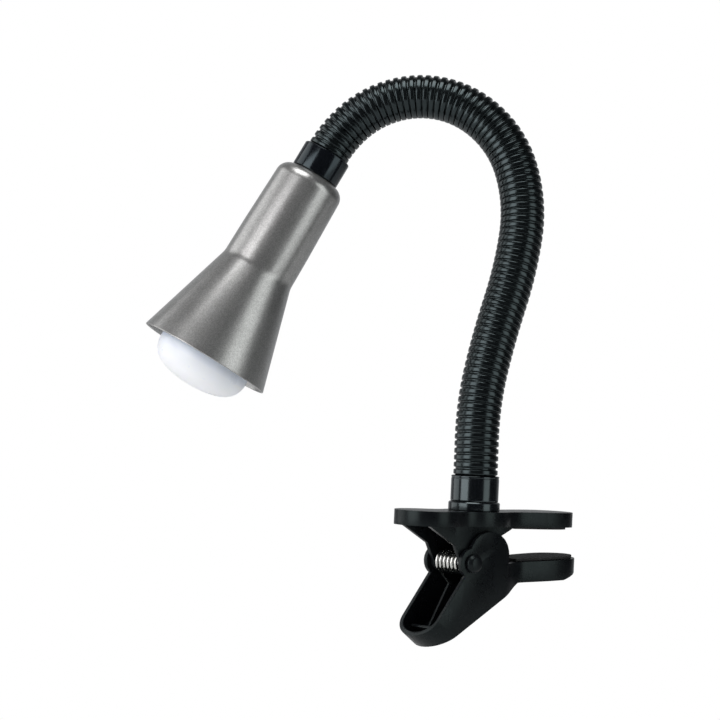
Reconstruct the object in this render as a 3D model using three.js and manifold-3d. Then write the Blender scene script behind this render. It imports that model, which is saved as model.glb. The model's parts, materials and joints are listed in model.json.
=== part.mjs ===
// Clip-on gooseneck reading lamp: a spring clamp, a corrugated flexible neck and a spot shade with
// a reflector bulb. Millimetres, +Z up. The origin is the centre of the upper jaw pad's gripping
// face, and the jaws point along +X.
import * as THREE from "three";
import { mergeVertices } from "three/addons/utils/BufferGeometryUtils.js";
import Module from "manifold-3d";

const wasm = await Module();
wasm.setup();

// ---------------------------------------------------------------- driving dimensions
const CLEARANCE = 0.3;
const ROUND_SIDES = 24;

// The clamp is laid out from the middle of its body: z = 0 is the plate's top face.
const PAD_CENTRE_X = 41;
const PAD_FACE_Z = -8.6;
const PLATE_HEIGHT = 7.4;
const PLATE_SKIN = 2.6;
const SHELL_WALL = 2.2;
const HANDLE_LOBE_X = -31;
const HANDLE_LOBE_R = 16.5;
const BODY_LOBE_R = 16;
const JAW_LOBE_X = 45.5;
const JAW_LOBE_R = 14.5;
const REAR_WAIST = 12.5;
const FRONT_WAIST = 11;
const PAD_MARGIN = 3.4;
const PAD_RECESS_Z = -6;
const PAD_START_X = 20;
const HOLLOW_END_X = 14;
const RIB_HALF = 0.9;
const RIB_BOTTOM_Z = -5.4;
const CROSS_RIB_X = -24;
// The waists' bezier stations along x: handle lobe, rear waist, body, front waist, jaw lobe.
const REAR_WAIST_X = -15;
const FRONT_WAIST_X = 19;
const REAR_EASE_X = [-23, -21];
const BODY_REAR_EASE_X = [-9, -8];
const BODY_FRONT_EASE_X = 10;
const JAW_EASE_X = [28, 32];

const PIVOT_X = -12.5;
const PIVOT_Z = -25.5;
const PIN_R = 2;
const PIVOT_CAP_R = 4.6;
const EAR_INNER_Y = 9.6;
const EAR_THICKNESS = 2.2;
const EAR_BOSS_R = 5.2;
const EAR_REAR_X = -40;
const EAR_REAR_Z = -6.6;
const EAR_REAR_WAIST = [-22, -16.8];
const EAR_FRONT_WAIST = [7.8, -11.8];
const EAR_FRONT = [17.4, -6.8];
const CHEEK_INNER_Y = 12.3;
const CHEEK_THICKNESS = 2.4;
const CHEEK_BOSS_R = 7.6;
const THROAT_LOBE_X = -1.5;
const THROAT_LOBE_Z = -22.6;
const THROAT_LOBE_R = 13;
// Between the cheeks the throat is cut down to here, clear of the upper part's ears as the jaws close.
const THROAT_RELIEF_Z = -18.5;
const LOWER_SKIN = 2.4;
const LOWER_PAD_THICKNESS = 1.2;
const LOWER_PAD_MARGIN = 1.6;
const LOWER_HALF_WIDTH = CHEEK_INNER_Y + CHEEK_THICKNESS;
const HANDLE_END_DEPTH = 11;
const HANDLE_RIB_HALF = 0.8;
// The lower jaw's plan: cheek width at its root, a waist, then a lobe that reaches past the upper one.
const LOWER_ROOT_X = 8.4;
const LOWER_ROOT_EASE_X = [13.5, 16];
const LOWER_WAIST_X = 22;
const LOWER_LOBE_X = 48;
const JAW_HOLLOW_X = 14;
const CLAMP_REACH = 80;
const PIN_SIDES = 16;

const SPRING_COIL_R = 5.2;
const SPRING_WIRE_R = 0.8;
const SPRING_TURNS = 5;
const SPRING_HALF_LENGTH = 7.6;
const SPRING_UPPER_LEG_DEG = 150;
const SPRING_LOWER_LEG_DEG = 225;
const SPRING_UPPER_LEG = 20.4;
const SPRING_LOWER_LEG = 20.2;
const SPRING_LEG_SHARE = 0.1;

// The neck stands on the plate a little behind the middle of the body.
const NECK_X = -1.2;
const FLANGE_R = 12.9;
const FLANGE_HEIGHT = 4.5;
const SLEEVE_R = 12;
const SLEEVE_TOP_Z = 17.5;
const STUD_R = 4.8;
const STUD_BORE_R = 3.3;
const STUD_LOW_Z = -10;
const STUD_HIGH_Z = 9.6;
const NUT_CORNER_R = 8;
const NUT_HEIGHT = 4;
const WASHER_R = 7.2;
const WASHER_THICKNESS = 1.3;
const BUSH_BORE_R = 2.3;
const BUSH_HEAD_R = 4.6;
const BUSH_LOW_Z = -12;
const BUSH_HIGH_Z = -4;
const SEAT_THICKNESS = 3;

const NECK_R = 11.1;
const NECK_BORE_R = 8.2;
const NECK_BALL_R = 10.4;
const NECK_CUP_R = 11.2;
const NECK_LIP = 4.2;
const NECK_SHOULDER = 1;
const NECK_SIDES = 12;
const NECK_SPIGOT = 6;
const CORE_R = 4.8;
const CORE_BORE_R = 3;
const CORE_SIDES = 10;
const CORE_GAP = 2.4;

// The neck leaves the clamp upright and bends in its own plane, NECK_PLANE_DEG from the jaws.
// Each link is one arc: LINK_BEND curls it over towards the head, LINK_LEAN takes it out of the plane.
const NECK_PLANE_DEG = -38;
const HINGE_COUNT = 8;
const NECK_LENGTH = 285.8;
const LINK_BEND = [0.5, -11.5, -4.5, 9, 24.5, 37, 41, 38.5, 15.5];
const LINK_LEAN = [5.5, 5.5, 2, -0.5, 0, 3.5, 7, 7, 1];

// The head is laid out along its own axis: z = 0 at the neck's end, +z towards the mouth.
const COLLAR_R = 12.7;
const COLLAR_LENGTH = 13.3;
const SHADE_LENGTH = 108.6;
const SHADE_MOUTH_R = 34.5;
const SHADE_WAIST_R = 19.3;
const SHADE_CONE_LENGTH = 52.3;
const SHADE_TOP_R = 18.1;
const SHADE_SHOULDER = 8;
const SHADE_WALL = 1;
const BULB_R = 25.1;
const BULB_PROUD = 15.9;
const BULB_GLASS_LENGTH = 62;
const BULB_LENGTH = 85;
const BULB_CAP_R = 6.8;
const HOLDER_R = 13.4;
const HOLDER_BORE_R = 8.3;
const HOLDER_WALL = 2;
const HOLDER_NECK = 8;
const CONTACT_SPACE = 6;

const SHADE_BACK_Z = COLLAR_LENGTH + CLEARANCE;
const MOUTH_Z = SHADE_BACK_Z + SHADE_LENGTH;
const BULB_TIP_Z = MOUTH_Z + BULB_PROUD;

// ---------------------------------------------------------------- materials
const material = (color, roughness, metalness) =>
  new THREE.MeshStandardMaterial({ color, roughness, metalness });
const FINISHES = {
  clampPlastic: material(0x14161a, 0.35, 0),
  sleevePlastic: material(0x0e1013, 0.3, 0),
  glossPlastic: material(0x0b0c10, 0.2, 0),
  padRubber: material(0x1d1d1d, 0.85, 0),
  nickel: material(0xc9ccd0, 0.25, 1),
  steel: material(0x9ea1a6, 0.4, 1),
  shadePaint: material(0x9c9792, 0.35, 0.7),
  phenolic: material(0x18140f, 0.5, 0),
  brass: material(0xc2a25a, 0.35, 1),
  frosted: material(0xf2f6fb, 0.4, 0),
};

// ---------------------------------------------------------------- solids
function solidFrom(geometry) {
  const plain = geometry.clone();
  plain.deleteAttribute("normal");
  plain.deleteAttribute("uv");
  const merged = mergeVertices(plain, 1e-4);
  return new wasm.Manifold(
    new wasm.Mesh({
      numProp: 3,
      vertProperties: merged.attributes.position.array,
      triVerts: new Uint32Array(merged.index.array),
    }),
  );
}

function geometryFrom(solid) {
  const mesh = solid.getMesh();
  const geometry = new THREE.BufferGeometry();
  geometry.setAttribute("position", new THREE.BufferAttribute(mesh.vertProperties, 3));
  geometry.setIndex(new THREE.BufferAttribute(mesh.triVerts, 1));
  geometry.computeVertexNormals();
  return geometry;
}

const addTo = (group, name, geometry, finish) => {
  const mesh = new THREE.Mesh(geometry, finish);
  mesh.name = name;
  group.add(mesh);
  return mesh;
};

// A profile of [radius, z] points turned about the z axis.
// It starts and ends on the axis, or closes on itself.
function turned(points, sides = ROUND_SIDES) {
  const lathe = new THREE.LatheGeometry(
    points.map(([r, z]) => new THREE.Vector2(r, z)),
    sides,
  );
  lathe.rotateX(Math.PI / 2);
  return lathe;
}

// A straight rod or ring about z.
const ringProfile = (outer, inner, low, high) => [
  [inner, low],
  [outer, low],
  [outer, high],
  [inner, high],
  [inner, low],
];
const ring = (outer, inner, low, high, sides) => turned(ringProfile(outer, inner, low, high), sides);
const rod = (radius, low, high, sides = ROUND_SIDES) =>
  turned([[0, low], [radius, low], [radius, high], [0, high]], sides);

// A shape drawn in x and y, raised from z low to z high.
function raised(shape, low, high, curveSegments = 8) {
  const depth = high - low;
  const geometry = new THREE.ExtrudeGeometry(shape, { depth, bevelEnabled: false, curveSegments });
  geometry.translate(0, 0, low);
  return solidFrom(geometry);
}

// A shape drawn in x and z, spread from y low to y high.
function spread(shape, low, high, curveSegments = 10) {
  const depth = high - low;
  const geometry = new THREE.ExtrudeGeometry(shape, { depth, bevelEnabled: false, curveSegments });
  geometry.rotateX(Math.PI / 2);
  geometry.translate(0, high, 0);
  return solidFrom(geometry);
}

// A round rod along y through (x, z).
function crossRod(radius, x, z, low, high, sides = ROUND_SIDES) {
  const geometry = rod(radius, low, high, sides);
  geometry.rotateX(-Math.PI / 2);
  geometry.translate(x, 0, z);
  return solidFrom(geometry);
}

const polygon = (points) => new THREE.Shape(points.map(([x, y]) => new THREE.Vector2(x, y)));

// ---------------------------------------------------------------- clamp
// The plan of the clamp seen from above: a handle lobe, the body round the neck's foot and a jaw lobe.
function clampPlan(inset = 0) {
  const handleR = HANDLE_LOBE_R - inset;
  const bodyR = BODY_LOBE_R - inset;
  const jawR = JAW_LOBE_R - inset;
  const rearWaist = REAR_WAIST - inset;
  const frontWaist = FRONT_WAIST - inset;
  const shape = new THREE.Shape();
  shape.moveTo(HANDLE_LOBE_X, handleR);
  shape.absarc(HANDLE_LOBE_X, 0, handleR, Math.PI / 2, -Math.PI / 2, false);
  const [handleEase, waistEase] = REAR_EASE_X;
  const [bodyStart, bodyEase] = BODY_REAR_EASE_X;
  const [jawStart, jawEase] = JAW_EASE_X;
  shape.bezierCurveTo(handleEase, -handleR, waistEase, -rearWaist, REAR_WAIST_X, -rearWaist);
  shape.bezierCurveTo(bodyStart, -rearWaist, bodyEase, -bodyR, 0, -bodyR);
  const frontEase = BODY_FRONT_EASE_X;
  shape.bezierCurveTo(frontEase, -bodyR, frontEase, -frontWaist, FRONT_WAIST_X, -frontWaist);
  shape.bezierCurveTo(jawStart, -frontWaist, jawEase, -jawR, JAW_LOBE_X, -jawR);
  shape.absarc(JAW_LOBE_X, 0, jawR, -Math.PI / 2, Math.PI / 2, false);
  shape.bezierCurveTo(jawEase, jawR, jawStart, frontWaist, FRONT_WAIST_X, frontWaist);
  shape.bezierCurveTo(frontEase, frontWaist, frontEase, bodyR, 0, bodyR);
  shape.bezierCurveTo(bodyEase, bodyR, bodyStart, rearWaist, REAR_WAIST_X, rearWaist);
  shape.bezierCurveTo(waistEase, rearWaist, handleEase, handleR, HANDLE_LOBE_X, handleR);
  return shape;
}

// The jaw end of the plan only, from the given x to the tip.
function jawPlan(fromX, inset) {
  const jawR = JAW_LOBE_R - inset;
  const waist = FRONT_WAIST - inset;
  const shape = new THREE.Shape();
  const [jawStart, jawEase] = JAW_EASE_X;
  shape.moveTo(fromX, -waist);
  shape.bezierCurveTo(jawStart, -waist, jawEase, -jawR, JAW_LOBE_X, -jawR);
  shape.absarc(JAW_LOBE_X, 0, jawR, -Math.PI / 2, Math.PI / 2, false);
  shape.bezierCurveTo(jawEase, jawR, jawStart, waist, fromX, waist);
  shape.closePath();
  return shape;
}

// A rectangle on a plan or a side view.
const rectangle = (x0, y0, x1, y1) => polygon([[x0, y0], [x1, y0], [x1, y1], [x0, y1]]);

// One ear of the upper part, side -1 or +1 along y, with its boss round the pin.
function pivotEar(side) {
  const low = side < 0 ? -EAR_INNER_Y - EAR_THICKNESS : EAR_INNER_Y;
  const high = low + EAR_THICKNESS;
  const gusset = polygon([
    [EAR_REAR_X, -1],
    [EAR_REAR_X, EAR_REAR_Z],
    EAR_REAR_WAIST,
    [PIVOT_X - EAR_BOSS_R, PIVOT_Z],
    [PIVOT_X + EAR_BOSS_R, PIVOT_Z],
    EAR_FRONT_WAIST,
    EAR_FRONT,
    [EAR_FRONT[0], -1],
  ]);
  return spread(gusset, low, high)
    .add(crossRod(EAR_BOSS_R, PIVOT_X, PIVOT_Z, low, high))
    .subtract(crossRod(PIN_R + CLEARANCE, PIVOT_X, PIVOT_Z, low - 1, high + 1, PIN_SIDES));
}

function clampUpper() {
  const below = -PLATE_HEIGHT - 1;
  const inPlan = raised(clampPlan(), -CLAMP_REACH, 0);
  const plate = raised(clampPlan(), -PLATE_HEIGHT, 0);
  const hollowReach = raised(rectangle(-CLAMP_REACH, -20, HOLLOW_END_X, 20), below, -PLATE_SKIN);
  const hollow = raised(clampPlan(SHELL_WALL), below, -PLATE_SKIN).intersect(hollowReach);
  const padRecess = raised(jawPlan(PAD_START_X, PAD_MARGIN - CLEARANCE), below, PAD_RECESS_Z);
  const studHole = solidFrom(rod(STUD_R + CLEARANCE, -10, 5)).translate([NECK_X, 0, 0]);
  const ribStart = HANDLE_LOBE_X - HANDLE_LOBE_R + 1;
  const rib = spread(rectangle(ribStart, RIB_BOTTOM_Z, CROSS_RIB_X, -1), -RIB_HALF, RIB_HALF);
  const crossRib = raised(
    rectangle(CROSS_RIB_X - RIB_HALF, -HANDLE_LOBE_R, CROSS_RIB_X + RIB_HALF, HANDLE_LOBE_R),
    RIB_BOTTOM_Z,
    -1,
  );
  return geometryFrom(
    plate
      .subtract(hollow)
      .subtract(padRecess)
      .add(pivotEar(-1).add(pivotEar(1)).intersect(inPlan))
      .add(rib.add(crossRib).intersect(inPlan))
      .subtract(studHole),
  );
}

// Upper pad: a rubber plug in the jaw's recess with a proud flat face.
const upperJawPad = () =>
  geometryFrom(raised(jawPlan(PAD_START_X, PAD_MARGIN), PAD_FACE_Z, PAD_RECESS_Z - CLEARANCE));

// The lower part's side view, as [x, z]: jaw along +x, handle down and back from the pivot.
const RIM_TOP = [-17.3, -32.6];
const RIM_END = [-38.6, -62];
const OUTER_END = [-31.6, -68.1];
const KEEL = [20.5, -35.4];
const JAW_BOTTOM = [48, -33.9];
const JAW_TIP_LOW = [64, -28.6];
const JAW_TIP_HIGH = [64, -22.7];
const THROAT = [11, -25.5];

const lowerOutline = () =>
  polygon([
    RIM_TOP,
    RIM_END,
    OUTER_END,
    KEEL,
    JAW_BOTTOM,
    JAW_TIP_LOW,
    JAW_TIP_HIGH,
    THROAT,
    [PIVOT_X, PIVOT_Z],
  ]);

// The lower jaw seen from above, from its root between the cheeks to the tip.
function lowerJawPlan(inset) {
  const cheek = LOWER_HALF_WIDTH - inset;
  const waist = FRONT_WAIST - inset;
  const lobeR = JAW_LOBE_R - inset;
  const [rootStart, rootEase] = LOWER_ROOT_EASE_X;
  const [jawStart, jawEase] = JAW_EASE_X;
  const shape = new THREE.Shape();
  shape.moveTo(LOWER_ROOT_X, -cheek);
  shape.bezierCurveTo(rootStart, -cheek, rootEase, -waist, LOWER_WAIST_X, -waist);
  shape.bezierCurveTo(jawStart, -waist, jawEase, -lobeR, LOWER_LOBE_X, -lobeR);
  shape.absarc(LOWER_LOBE_X, 0, lobeR, -Math.PI / 2, Math.PI / 2, false);
  shape.bezierCurveTo(jawEase, lobeR, jawStart, waist, LOWER_WAIST_X, waist);
  shape.bezierCurveTo(rootEase, waist, rootStart, cheek, LOWER_ROOT_X, cheek);
  shape.closePath();
  return shape;
}

// A prism across the handle's rim plane with a rounded end: what the handle's plan is cut to.
function handlePlanCut(inset) {
  const down = new THREE.Vector2(RIM_END[0] - RIM_TOP[0], RIM_END[1] - RIM_TOP[1]);
  const straight = down.length() - HANDLE_END_DEPTH;
  const halfWidth = LOWER_HALF_WIDTH - inset;
  const shape = new THREE.Shape();
  shape.moveTo(-CLAMP_REACH, -halfWidth);
  shape.lineTo(straight, -halfWidth);
  shape.absellipse(straight, 0, HANDLE_END_DEPTH - inset, halfWidth, -Math.PI / 2, Math.PI / 2, false);
  shape.lineTo(-CLAMP_REACH, halfWidth);
  shape.closePath();
  const depth = 2 * CLAMP_REACH;
  const geometry = new THREE.ExtrudeGeometry(shape, { depth, bevelEnabled: false, curveSegments: 10 });
  geometry.translate(0, 0, -CLAMP_REACH);
  const along = new THREE.Vector3(down.x, 0, down.y).normalize();
  const across = new THREE.Vector3(0, 1, 0);
  const normal = new THREE.Vector3().crossVectors(along, across);
  geometry.applyMatrix4(new THREE.Matrix4().makeBasis(along, across, normal));
  geometry.translate(RIM_TOP[0], 0, RIM_TOP[1]);
  return solidFrom(geometry);
}

// What is cut away between the cheeks: open on the rim side and on top.
function handleChannel() {
  const channel = polygon([
    [RIM_TOP[0] - 30, RIM_TOP[1] + 40],
    [RIM_END[0] - 30, RIM_END[1] + 14],
    [OUTER_END[0] - 6.4, OUTER_END[1] - 1.1],
    [KEEL[0] - 7, KEEL[1] - 1.7],
    [THROAT[0] - 2.6, THROAT[1] - 4],
    [THROAT[0] - 2.6, 0],
  ]);
  return spread(channel, -CHEEK_INNER_Y, CHEEK_INNER_Y).intersect(handlePlanCut(CHEEK_THICKNESS));
}

// The stiffening ribs in the handle's channel: one down its middle, one across near its end.
function handleRibs() {
  const centre = spread(
    polygon([[-15.5, -36.4], [-27.8, -58.8], [-33, -65.4], [-24, -61.6], [8, -41.2]]),
    -HANDLE_RIB_HALF,
    HANDLE_RIB_HALF,
  );
  const cross = spread(
    polygon([[-27.4, -57.2], [-28.3, -58.5], [-23.6, -61.5], [-22.7, -60.2]]),
    -CHEEK_INNER_Y - 0.5,
    CHEEK_INNER_Y + 0.5,
  );
  return centre.add(cross).intersect(handlePlanCut(1));
}

// The jaw: hollow from below, with a skin on top and a web down its middle.
function lowerJaw(block) {
  const jawSide = raised(rectangle(LOWER_ROOT_X, -20, CLAMP_REACH, 20), -CLAMP_REACH, 0);
  const jaw = block.intersect(raised(lowerJawPlan(0), -CLAMP_REACH, 0));
  const hollow = spread(
    polygon([[JAW_HOLLOW_X, -60], [JAW_HOLLOW_X, -27.8], [61, -25.3], [61, -60]]),
    -20,
    20,
  ).intersect(raised(lowerJawPlan(LOWER_SKIN), -CLAMP_REACH, 0));
  const webOutline = polygon([[12, -27], [12, -33], [46, -31.4], [59, -27.6], [59, -24.6]]);
  const web = spread(webOutline, -RIB_HALF, RIB_HALF);
  return { jaw: jaw.subtract(hollow).add(web), jawSide };
}

function clampLower() {
  const half = LOWER_HALF_WIDTH;
  const boss = crossRod(CHEEK_BOSS_R, PIVOT_X, PIVOT_Z, -half, half);
  const throat = crossRod(THROAT_LOBE_R, THROAT_LOBE_X, THROAT_LOBE_Z, -half, half);
  const block = spread(lowerOutline(), -half, half).add(boss).add(throat);
  const { jaw, jawSide } = lowerJaw(block);
  const handle = block.subtract(jawSide).intersect(handlePlanCut(0)).subtract(handleChannel());
  const pinHole = crossRod(PIN_R + CLEARANCE, PIVOT_X, PIVOT_Z, -half - 1, half + 1, PIN_SIDES);
  const throatEndX = THROAT_LOBE_X + THROAT_LOBE_R + 1;
  const relief = spread(
    rectangle(LOWER_ROOT_X - 1, THROAT_RELIEF_Z, throatEndX, 0),
    -CHEEK_INNER_Y,
    CHEEK_INNER_Y,
  );
  return geometryFrom(jaw.add(handle).add(handleRibs()).subtract(pinHole).subtract(relief));
}

// Lower pad: a rubber sheet lying on the lower jaw's sloping face.
function lowerJawPad() {
  const slope = (JAW_TIP_HIGH[1] - THROAT[1]) / (JAW_TIP_HIGH[0] - THROAT[0]);
  const faceAt = (x) => THROAT[1] + slope * (x - THROAT[0]) + CLEARANCE;
  const endX = LOWER_LOBE_X + JAW_LOBE_R;
  const sheet = spread(
    polygon([
      [PAD_START_X, faceAt(PAD_START_X)],
      [endX, faceAt(endX)],
      [endX, faceAt(endX) + LOWER_PAD_THICKNESS],
      [PAD_START_X, faceAt(PAD_START_X) + LOWER_PAD_THICKNESS],
    ]),
    -20,
    20,
  );
  return geometryFrom(sheet.intersect(raised(lowerJawPlan(LOWER_PAD_MARGIN), -CLAMP_REACH, 0)));
}

function pivotPin() {
  const reach = LOWER_HALF_WIDTH + 2.2;
  const geometry = rod(PIN_R, -reach, reach, PIN_SIDES);
  geometry.rotateX(-Math.PI / 2);
  geometry.translate(PIVOT_X, 0, PIVOT_Z);
  return geometry;
}

// A push cap with a domed face, side -1 or +1 along y.
function pivotCap(side) {
  const seat = LOWER_HALF_WIDTH + CLEARANCE;
  const bore = PIN_R + CLEARANCE;
  const geometry = turned([
    [0, seat + 2.5],
    [bore, seat + 2.5],
    [bore, seat],
    [PIVOT_CAP_R, seat],
    [PIVOT_CAP_R, seat + 1.6],
    [PIVOT_CAP_R - 1.2, seat + 2.9],
    [0, seat + 3.6],
    [0, seat + 2.5],
  ], PIN_SIDES);
  geometry.rotateX(side > 0 ? -Math.PI / 2 : Math.PI / 2);
  geometry.translate(PIVOT_X, 0, PIVOT_Z);
  return geometry;
}

// The spring's wire: one leg up under the plate, turns about the pin, one leg down in the lower handle.
class SpringWire extends THREE.Curve {
  getPoint(t, target = new THREE.Vector3()) {
    const startAngle = THREE.MathUtils.degToRad(SPRING_UPPER_LEG_DEG);
    const endAngle = THREE.MathUtils.degToRad(SPRING_LOWER_LEG_DEG + 360 * SPRING_TURNS);
    const coilT = THREE.MathUtils.clamp((t - SPRING_LEG_SHARE) / (1 - 2 * SPRING_LEG_SHARE), 0, 1);
    const angle = startAngle + (endAngle - startAngle) * coilT;
    const upperLeg = SPRING_UPPER_LEG * Math.max(0, 1 - t / SPRING_LEG_SHARE);
    const lowerLeg = SPRING_LOWER_LEG * Math.max(0, 1 - (1 - t) / SPRING_LEG_SHARE);
    const tangential = lowerLeg - upperLeg;
    return target.set(
      PIVOT_X + SPRING_COIL_R * Math.cos(angle) - tangential * Math.sin(angle),
      SPRING_HALF_LENGTH * (2 * coilT - 1),
      PIVOT_Z + SPRING_COIL_R * Math.sin(angle) + tangential * Math.cos(angle),
    );
  }
}

function torsionSpring() {
  const section = new THREE.Shape();
  section.absarc(0, 0, SPRING_WIRE_R, 0, 2 * Math.PI, false);
  const extrudePath = new SpringWire();
  return new THREE.ExtrudeGeometry(section, { steps: 66, curveSegments: 3, extrudePath });
}

// ---------------------------------------------------------------- neck's foot
const baseFlange = () =>
  turned([
    [STUD_R + CLEARANCE, 0.1],
    [FLANGE_R, 0.1],
    [FLANGE_R, FLANGE_HEIGHT - 0.8],
    [FLANGE_R - 0.8, FLANGE_HEIGHT],
    [STUD_R + CLEARANCE, FLANGE_HEIGHT],
    [STUD_R + CLEARANCE, 0.1],
  ]);

const baseSleeve = () =>
  turned([
    [STUD_R + CLEARANCE, FLANGE_HEIGHT + 0.1],
    [SLEEVE_R, FLANGE_HEIGHT + 0.1],
    [SLEEVE_R, SLEEVE_TOP_Z - 0.6],
    [SLEEVE_R - 0.4, SLEEVE_TOP_Z],
    [NECK_R + CLEARANCE, SLEEVE_TOP_Z],
    [NECK_R + CLEARANCE, FLANGE_HEIGHT + SEAT_THICKNESS],
    [STUD_R + CLEARANCE, FLANGE_HEIGHT + SEAT_THICKNESS],
    [STUD_R + CLEARANCE, FLANGE_HEIGHT + 0.1],
  ]);

const WASHER_TOP_Z = -PLATE_SKIN - CLEARANCE;
const WASHER_LOW_Z = WASHER_TOP_Z - WASHER_THICKNESS;
const lockWasher = () => ring(WASHER_R, STUD_R + CLEARANCE, WASHER_LOW_Z, WASHER_TOP_Z, 24);
const hexNut = (low) =>
  geometryFrom(
    solidFrom(rod(NUT_CORNER_R, low, low + NUT_HEIGHT, 6)).subtract(
      solidFrom(rod(STUD_R + CLEARANCE, low - 1, low + NUT_HEIGHT + 1, 20)),
    ),
  );
const mountingStud = () => ring(STUD_R, STUD_BORE_R, STUD_LOW_Z, STUD_HIGH_Z, 20);

// The cord's inlet: a flanged bush in the lower end of the hollow stud.
const cordBush = () =>
  turned([
    [BUSH_BORE_R, BUSH_LOW_Z],
    [BUSH_HEAD_R, BUSH_LOW_Z],
    [BUSH_HEAD_R, STUD_LOW_Z - CLEARANCE],
    [STUD_BORE_R - CLEARANCE, STUD_LOW_Z - CLEARANCE],
    [STUD_BORE_R - CLEARANCE, BUSH_HIGH_Z],
    [BUSH_BORE_R, BUSH_HIGH_Z],
    [BUSH_BORE_R, BUSH_LOW_Z],
  ], 16);

// ---------------------------------------------------------------- neck
// One link of the neck: an arc of the given length that turns its start frame about a fixed axis.
class LinkArc extends THREE.Curve {
  constructor(start, frame, length, bendDeg, leanDeg) {
    super();
    this.start = start;
    this.frame = frame;
    this.length = length;
    const turn = new THREE.Vector3()
      .addScaledVector(frame.side, THREE.MathUtils.degToRad(bendDeg))
      .addScaledVector(frame.inner, THREE.MathUtils.degToRad(leanDeg));
    this.angle = turn.length();
    this.axis = turn.normalize();
  }

  getPoint(t, target = new THREE.Vector3()) {
    const swept = this.angle * t;
    const radius = this.length / this.angle;
    const sideways = new THREE.Vector3().crossVectors(this.axis, this.frame.along);
    return target
      .copy(this.start)
      .addScaledVector(this.frame.along, radius * Math.sin(swept))
      .addScaledVector(sideways, radius * (1 - Math.cos(swept)));
  }

  frameAt(t) {
    const turned = (v) => v.clone().applyAxisAngle(this.axis, this.angle * t);
    const { along, inner, side } = this.frame;
    return { along: turned(along), inner: turned(inner), side: turned(side) };
  }
}

// The links from foot to head, each starting where the last one ends.
function neckLinks() {
  const plane = THREE.MathUtils.degToRad(NECK_PLANE_DEG);
  const along = new THREE.Vector3(0, 0, 1);
  const inner = new THREE.Vector3(-Math.cos(plane), -Math.sin(plane), 0);
  let frame = { along, inner, side: new THREE.Vector3().crossVectors(along, inner) };
  let start = new THREE.Vector3(0, 0, SLEEVE_TOP_Z);
  const links = [];
  for (let i = 0; i <= HINGE_COUNT; i++) {
    const half = i === 0 || i === HINGE_COUNT;
    const length = NECK_LENGTH / HINGE_COUNT / (half ? 2 : 1);
    const link = new LinkArc(start, frame, length, LINK_BEND[i], LINK_LEAN[i]);
    links.push(link);
    start = link.getPoint(1);
    frame = link.frameAt(1);
  }
  return links;
}

// The part of a link between two lengths along it. Beyond the link's own ends it runs straight on.
class LinkStretch extends THREE.Curve {
  constructor(link, from, to) {
    super();
    this.link = link;
    this.from = from;
    this.to = to;
  }

  getPoint(t, target) {
    const { link } = this;
    const distance = this.from + (this.to - this.from) * t;
    const within = THREE.MathUtils.clamp(distance, 0, link.length);
    const point = link.getPoint(within / link.length, target);
    return point.addScaledVector(link.frameAt(within / link.length).along, distance - within);
  }
}

function rodAlong(curve, radius, sides, steps) {
  const section = new THREE.Shape();
  section.absarc(0, 0, radius, 0, 2 * Math.PI, false);
  return new THREE.ExtrudeGeometry(section, { steps, curveSegments: sides / 2, extrudePath: curve });
}

function ringAlong(curve, outer, inner, sides, steps) {
  const section = new THREE.Shape();
  section.absarc(0, 0, outer, 0, 2 * Math.PI, false);
  const hole = new THREE.Path();
  hole.absarc(0, 0, inner, 0, 2 * Math.PI, true);
  section.holes.push(hole);
  return new THREE.ExtrudeGeometry(section, { steps, curveSegments: sides / 2, extrudePath: curve });
}

// A ball whose poles lie along the neck.
function ball(radius, centre, along) {
  const geometry = new THREE.SphereGeometry(radius, NECK_SIDES, 8);
  geometry.applyQuaternion(new THREE.Quaternion().setFromUnitVectors(new THREE.Vector3(0, 1, 0), along));
  geometry.translate(centre.x, centre.y, centre.z);
  return solidFrom(geometry);
}

// A length of the corrugated sleeve: a cup at its lower end turns on the ball of the length below it.
function neckSleeve(links, i) {
  const link = links[i];
  const first = i === 0;
  const last = i === HINGE_COUNT;
  const from = first ? -NECK_SPIGOT : NECK_LIP;
  const to = last ? link.length + NECK_SPIGOT : link.length - NECK_SHOULDER;
  let solid = solidFrom(rodAlong(new LinkStretch(link, from, to), NECK_R, NECK_SIDES, 4));
  if (!first) solid = solid.subtract(ball(NECK_CUP_R, link.start, link.frame.along));
  if (!last) solid = solid.add(ball(NECK_BALL_R, link.getPoint(1), link.frameAt(1).along));
  const past = NECK_CUP_R + NECK_SHOULDER + 1;
  const bore = new LinkStretch(link, from - past, to + past);
  return geometryFrom(solid.subtract(solidFrom(rodAlong(bore, NECK_BORE_R, NECK_SIDES, 6))));
}

// A length of the steel flexible arm inside the sleeve.
function flexCore(links, i) {
  const link = links[i];
  const from = i === 0 ? 0 : CORE_GAP;
  const to = i === HINGE_COUNT ? link.length : link.length - CORE_GAP;
  return ringAlong(new LinkStretch(link, from, to), CORE_R, CORE_BORE_R, CORE_SIDES, 3);
}

// ---------------------------------------------------------------- head
const headCollar = () =>
  turned([
    [STUD_R + CLEARANCE, COLLAR_LENGTH],
    [STUD_R + CLEARANCE, NECK_SPIGOT + 1],
    [NECK_R + CLEARANCE, NECK_SPIGOT + 1],
    [NECK_R + CLEARANCE, 0],
    [COLLAR_R - 0.5, 0],
    [COLLAR_R, 0.8],
    [COLLAR_R, COLLAR_LENGTH],
    [STUD_R + CLEARANCE, COLLAR_LENGTH],
  ]);

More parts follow.
